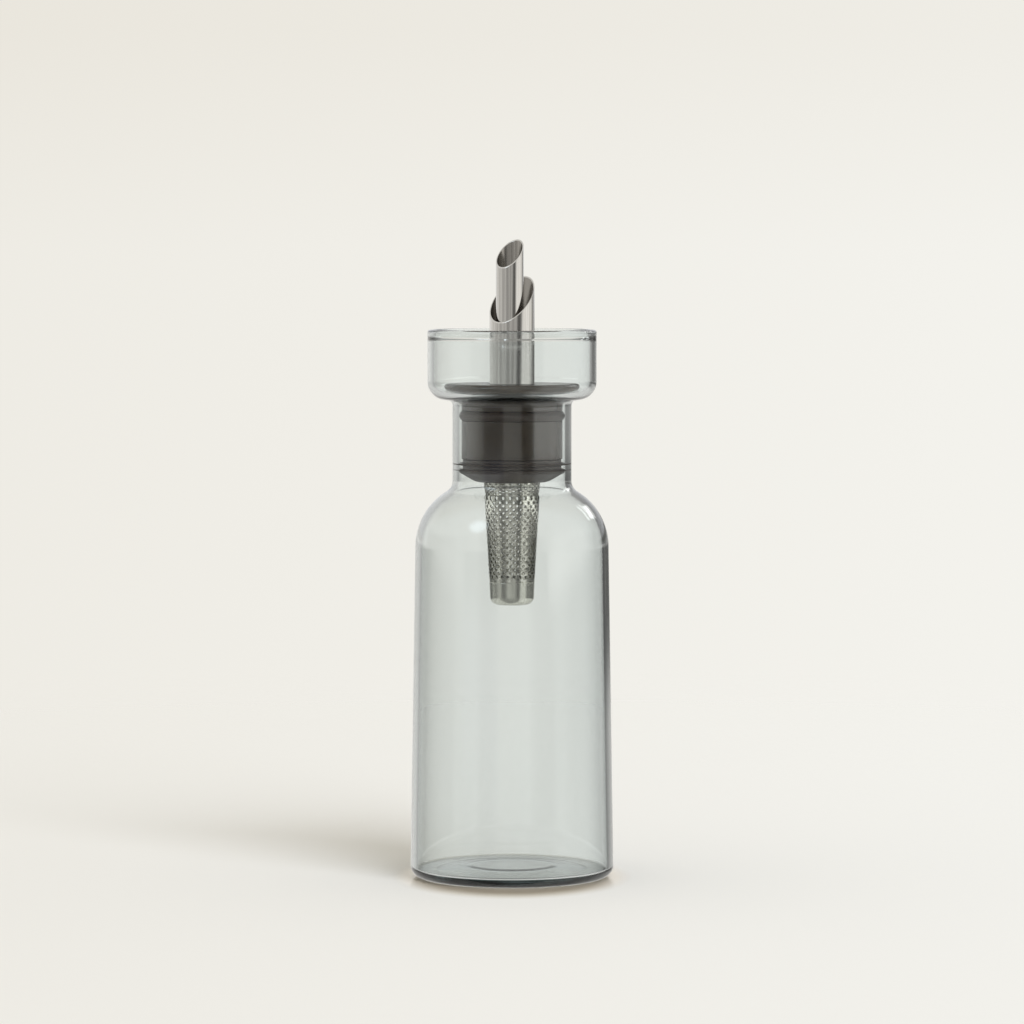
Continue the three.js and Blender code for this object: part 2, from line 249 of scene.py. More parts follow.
def glassMaterial(name, ior, tint, density, colour, stretch, detail, depth):
    material, tree, output, place = newMaterial(name)
    wave = addGrain(tree, place, stretch, detail, depth)
    shader = addNode(tree, "ShaderNodeBsdfPrincipled",
                     {"Base Color": opaque(tint), "Roughness": 0.0, "IOR": ior, "Metallic": 0.0,
                      "Transmission Weight": 1.0, "Normal": wave.outputs["Normal"]})
    inside = addNode(tree, "ShaderNodeVolumeAbsorption", {"Color": opaque(colour), "Density": density})
    tree.links.new(shader.outputs[0], output.inputs["Surface"])
    tree.links.new(inside.outputs[0], output.inputs["Volume"])
    return material


tintedGlass = glassMaterial(
    "tintedGlass", ior=1.48, tint=(0.978, 1.0, 1.0), density=100.0, colour=(0.60, 0.648, 0.655),
    stretch=(45, 45, 18), detail=1.0, depth=0.00004)
plugPlastic = grainMaterial(
    "plugPlastic", dark=(0.062, 0.045, 0.031), light=(0.078, 0.058, 0.041), roughness=(0.17, 0.25),
    stretch=(2600, 2600, 2600), detail=3.0, depth=0.000006, metallic=0.0, specular=0.8)
sealRubber = grainMaterial(
    "sealRubber", dark=(0.062, 0.043, 0.032), light=(0.075, 0.053, 0.040), roughness=(0.36, 0.48),
    stretch=(1800, 1800, 1800), detail=2.0, depth=0.00001, metallic=0.0, specular=0.8)
tubeSteel = grainMaterial(
    "tubeSteel", dark=(0.50, 0.485, 0.46), light=(0.72, 0.705, 0.68), roughness=(0.08, 0.16),
    stretch=(5200, 5200, 30), detail=4.0, depth=0.000004, metallic=1.0)
boreSteel = grainMaterial(
    "boreSteel", dark=(0.26, 0.245, 0.225), light=(0.44, 0.42, 0.39), roughness=(0.16, 0.28),
    stretch=(4200, 4200, 40), detail=4.0, depth=0.000005, metallic=1.0)
strainerSteel = grainMaterial(
    "strainerSteel", dark=(0.44, 0.43, 0.375), light=(0.94, 0.92, 0.835), roughness=(0.09, 0.18),
    stretch=(800, 800, 1300), detail=3.0, depth=0.000024, metallic=1.0)
drawnSteel = grainMaterial(
    "drawnSteel", dark=(0.64, 0.63, 0.56), light=(0.78, 0.77, 0.69), roughness=(0.14, 0.24),
    stretch=(1600, 1600, 50), detail=3.0, depth=0.000004, metallic=1.0)
bushPlastic = grainMaterial(
    "bushPlastic", dark=(0.025, 0.025, 0.024), light=(0.036, 0.035, 0.034), roughness=(0.5, 0.62),
    stretch=(2200, 2200, 2200), detail=3.0, depth=0.00002, metallic=0.0)
print("materials made")


# Glass bottle
bottle = {
    "foot": 33.2, "bodyTop": 31.3, "bodyHeight": 119.35, "shoulder": 127.11, "shoulderRound": 21,
    "heelRound": 3.6, "neck": 19.35, "neckTop": 155.16, "neckFootRound": 4.0, "neckTopRound": 1.6,
    "cup": 27.5, "cupFloor": 156.597, "cupRound": 6, "rim": 178.46, "wall": 2.0, "floor": 2.8,
    "floorRound": 0.8, "bead": 0.6, "beadHeight": 2.6, "beadRound": 0.9, "rimRound": 1.1, "punt": 14,
    "puntRise": 1.1, "ring": 24.6, "ringRound": 4, "arcStep": 5, "steps": 144,
}


def makeBottle(b):
    outside = [
        (b["foot"], 0, b["heelRound"]),
        (b["bodyTop"], b["bodyHeight"], b["shoulderRound"]),
        (b["neck"], b["shoulder"], b["neckFootRound"]),
        (b["neck"], b["neckTop"], b["neckTopRound"]),
        (b["cup"], b["cupFloor"], b["cupRound"]),
        (b["cup"], b["rim"], b["rimRound"]),
    ]
    inside = insetCorners(outside, b["wall"])[1:-1][::-1]
    lip = b["cup"] - b["wall"] - b["bead"]
    beadFoot = b["rim"] - b["beadHeight"]
    corners = [
        (0, b["puntRise"], 0), (b["punt"], b["puntRise"], b["punt"]), (b["ring"], 0, b["ringRound"]),
        *outside,
        (lip, b["rim"], b["rimRound"]), (lip, beadFoot, b["beadRound"]),
        (lip + b["bead"], beadFoot - b["bead"], b["beadRound"]),
        *inside,
        (b["foot"] - b["wall"], b["floor"], b["floorRound"]), (b["ring"], b["floor"], b["punt"]),
        (b["punt"], b["floor"] + b["puntRise"], b["punt"]), (0, b["floor"] + b["puntRise"], 0),
    ]
    bm = spunMesh(roundedOutline(corners, arcStep=b["arcStep"]), b["steps"])
    finishPiece(bm, "glassBottle", "bottle", "glass_bottle", tintedGlass)


makeBottle(bottle)
print("bottle made")


# Stopper plug
plug = {
    "bore": 9.27, "end": 130.624, "core": 11.85, "collar": 12.55, "collarTop": 132.224, "step": 136.454,
    "shaft": 16.45, "groove": 14.65, "grooveLow": 148.944, "grooveHigh": 152.144, "flangeLow": 157.544,
    "flangeHigh": 160.844, "flange": 22.1, "flangeRound": 1.6, "spout": 7.42, "ledge": 6.32,
    "ledgeHigh": 138.844, "ledgeLow": 136.244, "soft": 0.35, "arcStep": 10, "sharp": 40, "steps": 112,
}


def makePlug(p):
    soft = p["soft"]
    corners = [
        (p["bore"], p["end"], 0), (p["collar"], p["end"], soft), (p["collar"], p["collarTop"], soft),
        (p["core"], p["collarTop"], 0), (p["core"], p["step"], 0), (p["shaft"], p["step"], soft),
        (p["shaft"], p["grooveLow"], soft), (p["groove"], p["grooveLow"], 0),
        (p["groove"], p["grooveHigh"], 0), (p["shaft"], p["grooveHigh"], soft),
        (p["shaft"], p["flangeLow"], soft), (p["flange"], p["flangeLow"], p["flangeRound"]),
        (p["flange"], p["flangeHigh"], p["flangeRound"]), (p["spout"], p["flangeHigh"], soft),
        (p["spout"], p["ledgeHigh"], 0), (p["ledge"], p["ledgeHigh"], 0), (p["ledge"], p["ledgeLow"], 0),
        (p["bore"], p["ledgeLow"], 0),
    ]
    bm = spunMesh(roundedOutline(corners, closed=True, arcStep=p["arcStep"]), p["steps"], closed=True)
    finishPiece(bm, "stopperPlug", "stopper", "stopper_plug", plugPlastic, p["sharp"])


makePlug(plug)


# Seals
upperSeal = {
    "inner": 14.77, "low": 149.064, "high": 152.024, "shaft": 16.45, "lip": 17.2, "lipHalf": 0.3,
    "soft": 0.2, "arcStep": 15, "sharp": 40, "steps": 112,
}


def makeUpperSeal(s):
    middle = (s["low"] + s["high"]) / 2
    corners = [
        (s["inner"], s["low"], 0), (s["shaft"], s["low"], s["soft"]),
        (s["lip"], middle - s["lipHalf"], s["soft"]), (s["lip"], middle + s["lipHalf"], s["soft"]),
        (s["shaft"], s["high"], s["soft"]), (s["inner"], s["high"], 0),
    ]
    bm = spunMesh(roundedOutline(corners, closed=True, arcStep=s["arcStep"]), s["steps"], closed=True)
    finishPiece(bm, "upperSeal", "seals", "upper_seal", sealRubber, s["sharp"])


makeUpperSeal(upperSeal)

lowerSeal = {
    "bore": 9.27, "nose": 128.904, "noseRadius": 11.8, "noseRound": 6, "slopeTop": 132.304,
    "edgeRound": 1.6, "fin": 17.365, "noseTop": 133.104, "root": 16.0, "finMiddle": 134.854,
    "rootHalf": 0.55, "tipHalf": 0.25, "top": 136.304, "core": 11.97, "collar": 12.67,
    "collarTop": 132.344, "inside": 130.504, "soft": 0.18, "arcStep": 12, "sharp": 40, "steps": 112,
}


def makeLowerSeal(s):
    soft = s["soft"]
    corners = [
        (s["bore"], s["nose"], soft), (s["noseRadius"], s["nose"], s["noseRound"]),
        (s["fin"], s["slopeTop"], s["edgeRound"]), (s["fin"], s["noseTop"], soft),
        (s["root"], s["noseTop"] + s["tipHalf"], soft), (s["root"], s["finMiddle"] - s["rootHalf"], soft),
        (s["fin"], s["finMiddle"] - s["tipHalf"], soft), (s["fin"], s["finMiddle"] + s["tipHalf"], soft),
        (s["root"], s["finMiddle"] + s["rootHalf"], soft), (s["root"], s["top"], soft),
        (s["core"], s["top"], 0), (s["core"], s["collarTop"], 0), (s["collar"], s["collarTop"], 0),
        (s["collar"], s["inside"], 0), (s["bore"], s["inside"], 0),
    ]
    bm = spunMesh(roundedOutline(corners, closed=True, arcStep=s["arcStep"]), s["steps"], closed=True)
    finishPiece(bm, "lowerSeal", "seals", "lower_seal", sealRubber, s["sharp"])


makeLowerSeal(lowerSeal)
print("stopper made")


# Spout tubes, cut off at a slant
dripTube = {
    "radius": 7.3, "wall": 0.4, "foot": 138.994, "cut": 188.174, "angle": 46.3, "offset": 0,
    "edge": 0.12, "edgeSteps": 2, "longest": 200, "inward": -0.9, "sharp": 35, "steps": 96,
}
pourTube = {**dripTube, "radius": 4.5, "foot": 136.244, "cut": 203.014, "offset": -1.3, "steps": 80}


def makeTube(t, name, node):
    angle = math.radians(t["angle"])
    top = t["cut"] + 2 * t["radius"] * math.tan(angle)
    inner = t["radius"] - t["wall"]
    corners = [(inner, t["foot"], 0), (t["radius"], t["foot"], 0), (t["radius"], top, 0), (inner, top, 0)]
    bm = spunMesh(roundedOutline(corners, closed=True, longest=t["longest"]), t["steps"], closed=True)
    planeNormal = Vector((-math.sin(angle), 0, math.cos(angle)))
    cut = bmesh.ops.bisect_plane(bm, geom=bm.verts[:] + bm.edges[:] + bm.faces[:], dist=tiny,
                                 plane_co=(0, 0, t["cut"] * mm), plane_no=planeNormal, clear_outer=True)
    rims = [g for g in cut["geom_cut"] if isinstance(g, bmesh.types.BMEdge)]
    bmesh.ops.bridge_loops(bm, edges=rims)
    bmesh.ops.bevel(bm, geom=rims, offset=t["edge"] * mm, segments=t["edgeSteps"], profile=0.5,
                    affect="EDGES", material=-1, clamp_overlap=True)
    bmesh.ops.recalc_face_normals(bm, faces=bm.faces)
    for face in bm.faces:
        if outwardFacing(face) < t["inward"]:
            face.material_index = 1  # the bore
    bmesh.ops.translate(bm, verts=bm.verts, vec=(t["offset"] * mm, 0, 0))
    tube = finishPiece(bm, name, "stopper", node, tubeSteel, t["sharp"])
    tube.data.materials.append(boreSteel)


makeTube(dripTube, "dripTube", "drip_tube")
makeTube(pourTube, "pourTube", "pour_tube")

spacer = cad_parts["tube_spacer"]
spacer.data.materials.clear()
spacer.data.materials.append(bushPlastic)
print("spout made")


# Strainer
sleeve = {
    "top": 9.15, "low": 7.4, "taperTop": 127.704, "bandTop": 96.404, "foot": 96.524, "rim": 136.094,
    "sheet": 0.5, "columns": 23, "rows": 26, "firstRow": 98.2, "lastRow": 128.635, "collar": 130.6,
    "hole": 0.58, "holeSides": 8, "holeEdgeLimit": 1.1, "rowSlack": 0.02, "weld": 0.01, "sharp": 35,
}


def sleeveRadius(s, height):
    climb = min((height - s["bandTop"]) / (s["taperTop"] - s["bandTop"]), 1)
    return s["low"] + (s["top"] - s["low"]) * climb


def holedSheet(s):
    # one diamond of sheet with a round hole, laid flat as (turn, 0, height), repeated in staggered rows
    pitch = 2 * math.pi / s["columns"]
    rowPitch = (s["lastRow"] - s["firstRow"]) / (s["rows"] - 1)
    upright = Matrix.Rotation(math.pi / 2, 4, "X")
    bm = bmesh.new()
    diamond, hole = [bmesh.ops.create_circle(bm, cap_ends=False, segments=s["holeSides"], radius=radius,
                                             matrix=upright)["verts"] for radius in (1.0, s["hole"])]
    for vert in diamond:
        along, up = vert.co.x, vert.co.z
        size = abs(along) + abs(up)
        vert.co = (along / size * pitch / 2, 0, up / size * rowPitch)
    middleRadius = (s["top"] + s["low"]) / 2
    for vert in hole:
        vert.co.x /= middleRadius
    bmesh.ops.bridge_loops(bm, edges=bm.edges[:])
    cell = bm.faces[:]
    for row in range(s["rows"]):
        for column in range(s["columns"]):
            if row == 0 and column == 0:
                continue
            copy = bmesh.ops.duplicate(bm, geom=cell)["geom"]
            bmesh.ops.translate(bm, verts=[g for g in copy if isinstance(g, bmesh.types.BMVert)],
                                vec=((column + row % 2 / 2) * pitch, 0, row * rowPitch))
    bmesh.ops.translate(bm, verts=bm.verts, vec=(0, 0, s["firstRow"]))
    return bm


def extendSheet(bm, edges, height, radius):
    made = bmesh.ops.extrude_edge_only(bm, edges=edges)["geom"]
    for vert in [g for g in made if isinstance(g, bmesh.types.BMVert)]:
        flat = Vector((vert.co.x, vert.co.y)).normalized() * radius * mm
        vert.co = (flat.x, flat.y, height * mm)
    return [g for g in made if isinstance(g, bmesh.types.BMEdge)
            and all(abs(v.co.z - height * mm) < tiny for v in g.verts)]


def makeSleeve(s):
    bm = holedSheet(s)
    for vert in bm.verts:
        turn, height = vert.co.x, vert.co.z
        radius = sleeveRadius(s, height)
        vert.co = Vector((radius * math.cos(turn), radius * math.sin(turn), height)) * mm
    bmesh.ops.remove_doubles(bm, verts=bm.verts, dist=s["weld"] * mm)

    # plain sheet below the first row and above the last one
    longest = s["holeEdgeLimit"] * s["hole"] * mm
    lowest = (s["firstRow"] + s["rowSlack"]) * mm
    highest = (s["lastRow"] - s["rowSlack"]) * mm
    outer = [e for e in bm.edges if e.is_boundary and e.calc_length() > longest]
    low = [e for e in outer if max(v.co.z for v in e.verts) < lowest]
    high = [e for e in outer if min(v.co.z for v in e.verts) > highest]
    extendSheet(bm, low, s["foot"], sleeveRadius(s, s["foot"]))
    for height in (s["collar"], s["rim"]):
        high = extendSheet(bm, high, height, sleeveRadius(s, height))

    bmesh.ops.recalc_face_normals(bm, faces=bm.faces)
    if sum(outwardFacing(face) for face in bm.faces) < 0:
        bmesh.ops.reverse_faces(bm, faces=bm.faces)
    bmesh.ops.solidify(bm, geom=bm.faces[:], thickness=s["sheet"] * mm)
    bmesh.ops.recalc_face_normals(bm, faces=bm.faces)
    finishPiece(bm, "strainerSleeve", "strainer", "strainer_sleeve", strainerSteel,
                s["sharp"])


makeSleeve(sleeve)

base = {
    "bottom": 88.904, "foot": 7.1, "footRound": 2.6, "band": 7.4, "bandTop": 96.404, "spigot": 6.786,
    "spigotTop": 98.004, "sheet": 0.5, "soft": 0.15, "arcStep": 8, "sharp": 40, "steps": 96,
}


def makeBase(b):
    corners = [
        (0, b["bottom"], 0), (b["foot"], b["bottom"], b["footRound"]), (b["band"], b["bandTop"], b["soft"]),
        (b["spigot"], b["bandTop"], 0), (b["spigot"], b["spigotTop"], 0),
        (b["spigot"] - b["sheet"], b["spigotTop"], 0),
        (b["foot"] - b["sheet"], b["bottom"] + b["sheet"], b["footRound"] - b["sheet"]),
        (0, b["bottom"] + b["sheet"], 0),
    ]
    bm = spunMesh(roundedOutline(corners, arcStep=b["arcStep"]), b["steps"])
    finishPiece(bm, "strainerBase", "strainer", "strainer_base", drawnSteel, b["sharp"])


makeBase(base)
print("strainer made")


# Camera at the photo's viewing angle
view = {"azimuth": -56.0, "pitch": 3.221, "lens": 163.65, "sensor": 36, "distance": 1.513, "height": 0.2042}


def makeCamera(v):
    lens = bpy.data.cameras.new("camera")
    lens.lens = v["lens"]
    lens.sensor_width = v["sensor"]
    holder = bpy.data.objects.new("camera", lens)
    turn = math.radians(v["azimuth"])
    holder.location = (math.sin(turn) * v["distance"], -math.cos(turn) * v["distance"], v["height"])
    holder.rotation_euler = (math.radians(90 - v["pitch"]), 0, turn)
    bpy.context.scene.collection.objects.link(holder)
    bpy.context.scene.camera = holder


makeCamera(view)
bpy.context.scene.view_settings.view_transform = "Standard"
print("camera made")


# Directions as the camera sees them, with bearings in degrees to the right of the camera
rightward = Matrix.Rotation(math.radians(view["azimuth"]), 3, "Z") @ Vector((1, 0, 0))
frontward = rightward.cross(upAxis)


def aimAt(bearing, rise):
    turn = math.radians(view["azimuth"] - 90 + bearing)
    up = math.radians(rise)
    return Vector((math.cos(turn) * math.cos(up), math.sin(turn) * math.cos(up), math.sin(up)))


def directionDot(tree, direction, target):
    node = addNode(tree, "ShaderNodeVectorMath", {0: direction, 1: target}, operation="DOT_PRODUCT")
    return node.outputs["Value"]


def smoothRange(tree, value, start, end):
    return addNode(tree, "ShaderNodeMapRange", {"Value": value, "From Min": start, "From Max": end},
                   interpolation_type="SMOOTHSTEP").outputs[0]


def between(tree, value, rise, fall):
    return mathNode(tree, "MULTIPLY", smoothRange(tree, value, *rise), smoothRange(tree, value, *fall))


# Backdrop: even, a little dimmer to the left and towards the top
backdrop = {
    "dim": (0.80, 0.765, 0.69), "pale": (0.90, 0.89, 0.845), "middle": 0.78, "slope": 1.9, "reach": 0.12,
    "rise": 7.5, "mostRise": 0.35, "ambient": (0.68, 0.662, 0.62),
}

# Floor: pale, and faded out into the backdrop
floor = {
    "radius": 1.0, "sides": 96, "drop": 0.0002, "fade": (0.3, 0.75), "reach": 0.18,
    # the warm brown tone is a painted contact shadow round the foot
    "nearEdge": (0.056, 0.038), "squeeze": 1.4, "paintedShadowTone": (0.84, 0.72, 0.55),
    "polish": 1.3, "polishIor": 1.6, "sheen": (0.95, 0.91, 0.84), "sheenRoughness": 0.2,
    "clearEdge": (0.034, 0.05), "clearShare": 0.7,
}


def makeFloor(f, b):
    bm = bmesh.new()
    bmesh.ops.create_circle(bm, cap_ends=True, segments=f["sides"], radius=f["radius"],
                            matrix=Matrix.Translation((0, 0, -f["drop"])))
    mesh = bpy.data.meshes.new("floor")
    bm.to_mesh(mesh)
    bm.free()
    ground = bpy.data.objects.new("floor", mesh)
    bpy.context.scene.collection.objects.link(ground)
    material, tree, output, place = newMaterial("floor")
    path = addNode(tree, "ShaderNodeLightPath")
    throughGlass = path.outputs["Is Transmission Ray"]

    # clear far out, in mirrors and, for the most part, behind the glass
    distance = addNode(tree, "ShaderNodeVectorMath", {0: place}, operation="LENGTH").outputs["Value"]
    mirrored = mathNode(tree, "MINIMUM", path.outputs["Glossy Depth"], 1.0)
    fade = mathNode(tree, "MAXIMUM", smoothRange(tree, distance, *f["fade"]), mirrored)
    beyond = mathNode(tree, "MULTIPLY", throughGlass, smoothRange(tree, distance, *f["clearEdge"]))
    fade = mathNode(tree, "MAXIMUM", fade, mathNode(tree, "MULTIPLY", beyond, f["clearShare"]))

    # near is 1 round the foot, in an oval that is longer to the front than to the sides
    across = directionDot(tree, place, rightward)
    along = directionDot(tree, place, frontward)
    wide = mathNode(tree, "MULTIPLY", across, f["squeeze"])
    gap = mathNode(tree, "MULTIPLY_ADD", along, along, mathNode(tree, "MULTIPLY", wide, wide))
    near = smoothRange(tree, mathNode(tree, "SQRT", gap), *f["nearEdge"])

    # the backdrop's tone, with a painted warm contact shadow round the foot and a polish there that mirrors
    # it
    # painted shade: the floor's colour grows dimmer to the left, as if the light fell off that way
    lean = addNode(tree, "ShaderNodeClamp", {"Value": across, "Min": -f["reach"], "Max": f["reach"]})
    slope = b["slope"] * b["reach"] / f["reach"]
    shade = mathNode(tree, "MULTIPLY_ADD", lean.outputs[0], slope, b["middle"])
    tone = mixColour(tree, shade, opaque(b["dim"]), opaque(b["pale"]))
    # painted shadow: a warm brown tone mixed into the floor's colour round the foot, but not behind the
    # glass
    paintedShadow = mathNode(tree, "SUBTRACT", near, throughGlass, clamp=True)
    tone = mixColour(tree, paintedShadow, tone, opaque(f["paintedShadowTone"]))
    pale = addNode(tree, "ShaderNodeBsdfDiffuse", {"Color": tone})
    sheen = addNode(tree, "ShaderNodeBsdfGlossy",
                    {"Color": opaque(f["sheen"]), "Roughness": f["sheenRoughness"]})
    fresnel = addNode(tree, "ShaderNodeFresnel", {"IOR": f["polishIor"]}).outputs[0]
    polish = mathNode(tree, "MULTIPLY", mathNode(tree, "MULTIPLY", fresnel, f["polish"]), near)
    polished = addNode(tree, "ShaderNodeMixShader", {0: polish, 1: pale.outputs[0], 2: sheen.outputs[0]})
    clear = addNode(tree, "ShaderNodeBsdfTransparent")
    mix = addNode(tree, "ShaderNodeMixShader", {0: fade, 1: polished.outputs[0], 2: clear.outputs[0]})
    tree.links.new(mix.outputs[0], output.inputs["Surface"])
    mesh.materials.append(material)


makeFloor(floor, backdrop)
print("floor made")


# What mirrors see, as soft boxes and dark flags in rings. A stop is (bearing, level), or has its own tint.
warm = (1.0, 0.985, 0.945)
cool = (0.92, 0.95, 1.12)
spoutRing = [
    (0, 0.42), (8, 0.62), (15, 0.45), (21, 0.18), (28, 0.10), (33, 0.16), (38, 0.32), (42, 0.62),
    (48, 1.00), (54, 1.10), (85, 1.10), (100, 0.95), (108, 0.65), (117, 0.38), (140, 0.22), (165, 0.20),
    (176, 0.86), (190, 0.86), (228, 1.00), (254, 0.78), (277, 0.72), (290, 0.70), (299, 0.50), (307, 0.58),
    (318, 0.64), (326, 0.56), (334, 0.36), (340, 0.40), (347, 0.60), (357, 0.44), (360, 0.42),
]
cupRing = [
    (0, 0.35), (17, 0.35), (21, 0.10), (41, 0.10), (47, 0.85), (90, 0.80), (104, 0.70), (122, 0.55),
    (144, 0.48), (149, 0.17), (155, 0.17), (164, 0.40), (171, 0.70), (178, 0.86), (190, 0.95), (204, 0.95),
    (214, 0.65), (224, 0.50), (238, 0.75), (262, 0.90), (285, 0.85), (298, 0.60), (306, 0.10), (341, 0.10),
    (345, 0.35), (360, 0.35),
]
neckRing = [
    (0, 0.40), (17, 0.40), (21, 0.05), (42, 0.05), (47, 1.20), (90, 1.15), (102, 0.80), (118, 0.50),
    (126, 0.32), (140, 0.30), (147, 0.28), (152, 0.30), (159, 0.42), (167, 0.48), (178, 0.80), (188, 0.80),
    (212, 0.70), (230, 0.45), (242, 0.45), (262, 0.80), (285, 0.80), (298, 0.50), (303, 0.05, cool),
    (341, 0.05, cool), (344, 0.40), (360, 0.40),
]
leftEdge = [(223, 0.36), (234, 0.03), (248, 0.12), (263, 0.25)]
upperRing = [
    (0, 0.48), (19, 0.48), (25, 0.25), (44, 0.20), (51, 0.20), (85, 0.12), (97, 0.10), (112, 0.05),
    (143, 0.12), (150, 0.12), (154, 0.26), (158, 0.10), (166, 0.12), (173, 0.50), (180, 0.86), (208, 0.75),
    *leftEdge, (275, 0.28), (294, 0.32), (303, 0.36, cool), (341, 0.36, cool), (346, 0.48), (360, 0.48),
]
bodyRing = [
    (0, 0.12), (19, 0.12), (25, 0.06), (44, 0.06), (51, 0.20), (85, 0.30), (97, 0.26), (112, 0.08),
    (138, 0.20), (145, 0.28), (153, 0.48), (165, 0.65), (176, 0.86), (190, 0.86), (208, 0.80),
    *leftEdge, (275, 0.30), (294, 0.25), (303, 0.12, cool), (341, 0.12, cool), (346, 0.15), (360, 0.12),
]
plugRing = [
    (0, 0.40), (15, 0.40), (19, 0.05), (46, 0.05), (52, 2.60), (95, 2.60), (110, 1.80), (125, 1.20),
    (180, 0.60), (232, 1.00), (250, 2.10), (275, 1.90), (283, 0.05, cool), (330, 0.05, cool), (335, 0.40),
    (360, 0.40),
]
strainerRing = [
    (0, 0.58), (16, 0.52), (26, 0.10), (38, 0.14), (47, 0.78), (74, 0.74), (82, 0.25), (125, 0.15),
    (145, 0.20), (160, 0.80), (200, 0.80), (215, 0.15), (235, 0.20), (252, 0.40), (275, 0.30), (292, 0.66),
    (300, 0.62), (308, 0.15), (326, 0.20), (340, 0.70), (360, 0.55),
]
floorRing = [
    (0, 0.38), (40, 0.30), (48, 0.95), (95, 0.95), (120, 0.80), (180, 0.75), (240, 0.75), (265, 0.80),
    (298, 0.70), (306, 0.30), (360, 0.38),
]
# Each ring with the direction heights over which it takes over from the one before, for what is out in
# the open and for what stands in the glass
outerRings = [
    (bodyRing, None), (upperRing, (-0.098, -0.070)), (neckRing, (-0.052, -0.040)),
    (cupRing, (-0.0325, -0.0300)), (spoutRing, (-0.018, -0.014)),
]
innerRings = [(strainerRing, None), (plugRing, (-0.057, -0.053)), (spoutRing, (-0.0325, -0.0300))]
floorHeights = (-0.16, -0.30)  # where surfaces that face down mirror the floor's ring instead

# Dome over the rings, with a darker tone for light that is caught in the glass wall
dome = {"tone": (0.90, 0.89, 0.86), "wallTone": (0.42, 0.41, 0.385), "heights": (0.22, 0.6)}

# Passes through glass: a first reflection has none, the wall one or two, and what stands inside more
passes = {"first": (0.8, 0.2), "wallFrom": (0.3, 0.7), "wallTo": (2.7, 2.3), "inside": (2.2, 2.8)}

# Pale glow straight behind, in first reflections
backGlow = {"colour": (0.985, 1.0, 1.02), "spread": (0.5, 0.8), "heights": (0.03, 0.09)}

# Flags behind the shoulder's two sides, which only the glass wall catches
wallFlags = [
    {"from": (132, 144), "to": (182, 172), "tone": (0.10, 0.10, 0.09)},
    {"from": (184, 194), "to": (228, 214), "tone": (0.62, 0.61, 0.58)},
]
wallFlagHeights = {"from": (-0.016, -0.008), "to": (0.6, 0.3)}

# Light that is lost over several reflections, more of it straight behind
lostLight = {"second": 0.2, "secondBehind": 0.25, "manyBehind": 0.5, "many": (2.2, 3.8), "behind": (42, 22)}

# Two slanted bars of window light behind the right shoulder, and a soft lamp at the front left
windowBars = [
    {"bearing": 136.2, "rise": 26.5, "tilt": 60, "halfLength": 6.5, "halfWidth": 1.6, "soft": 1.2},
    {"bearing": 146, "rise": 20, "tilt": 42, "halfLength": 4.4, "halfWidth": 3.2, "soft": 1.2},
]
windowColour = (3.0, 3.0, 2.95)
lampLight = {"bearing": -50.5, "rise": 39.5, "inner": 2, "outer": 14, "colour": (2.8, 3.2, 3.5)}


def asTurns(degrees):
    return [angle / 360 for angle in degrees]


def ringRamp(tree, turn, stops):
    ramp = addNode(tree, "ShaderNodeValToRGB", {0: turn})
    elements = ramp.color_ramp.elements
    while len(elements) < len(stops):
        elements.new(0.5)
    for element, (angle, level, *tint) in zip(elements, stops):
        element.position = angle / 360
        element.color = opaque(level * part for part in (tint[0] if tint else warm))
    return ramp.outputs["Color"]


def stackedRings(tree, turn, height, rings):
    colour = None
    for ring, heights in rings:
        shown = ringRamp(tree, turn, ring)
        colour = mixColour(tree, smoothRange(tree, height, *heights), colour, shown) if heights else shown
    return colour


def windowBar(tree, turn, height, w):
    squeeze = math.cos(math.radians(w["rise"]))
    sideways = mathNode(tree, "MULTIPLY_ADD", turn, 360 * squeeze, -w["bearing"] * squeeze)
    upward = mathNode(tree, "MULTIPLY_ADD", mathNode(tree, "ARCSINE", height), math.degrees(1), -w["rise"])
    tilt = math.radians(w["tilt"])

    def within(first, second, half):
        turned = mathNode(tree, "MULTIPLY_ADD", sideways, first, mathNode(tree, "MULTIPLY", upward, second))
        return smoothRange(tree, mathNode(tree, "ABSOLUTE", turned), half + w["soft"], half)

    return mathNode(tree, "MULTIPLY", within(math.cos(tilt), math.sin(tilt), w["halfLength"]),
                    within(math.sin(tilt), -math.cos(tilt), w["halfWidth"]))


def mirroredStudio(tree, direction, turn, height, through):
    around = stackedRings(tree, turn, height, outerRings)
    inside = stackedRings(tree, turn, height, innerRings)
    around = mixColour(tree, smoothRange(tree, through, *passes["inside"]), around, inside)

    behind = smoothRange(tree, directionDot(tree, direction, aimAt(180, 0)), *backGlow["spread"])
    behind = mathNode(tree, "MULTIPLY", behind, smoothRange(tree, through, *passes["first"]))
    behind = mathNode(tree, "MULTIPLY", behind, smoothRange(tree, height, *backGlow["heights"]))
    around = mixColour(tree, behind, around, opaque(backGlow["colour"]))

    walled = between(tree, through, passes["wallFrom"], passes["wallTo"])
    level = between(tree, height, wallFlagHeights["from"], wallFlagHeights["to"])
    raised = mathNode(tree, "MULTIPLY", walled, level)
    for flag in wallFlags:
        side = between(tree, turn, asTurns(flag["from"]), asTurns(flag["to"]))
        around = mixColour(tree, mathNode(tree, "MULTIPLY", raised, side), around, opaque(flag["tone"]))

    below = ringRamp(tree, turn, floorRing)
    around = mixColour(tree, smoothRange(tree, height, *floorHeights), around, below)
    over = mixColour(tree, walled, opaque(dome["tone"]), opaque(dome["wallTone"]))
    mirrored = mixColour(tree, smoothRange(tree, height, *dome["heights"]), around, over)

    for bar in windowBars:
        mirrored = mixColour(tree, windowBar(tree, turn, height, bar), mirrored, opaque(windowColour))
    toward = directionDot(tree, direction, aimAt(lampLight["bearing"], lampLight["rise"]))
    edge = [math.cos(math.radians(lampLight[size])) for size in ("outer", "inner")]
    return mixColour(tree, smoothRange(tree, toward, *edge), mirrored, opaque(lampLight["colour"]))


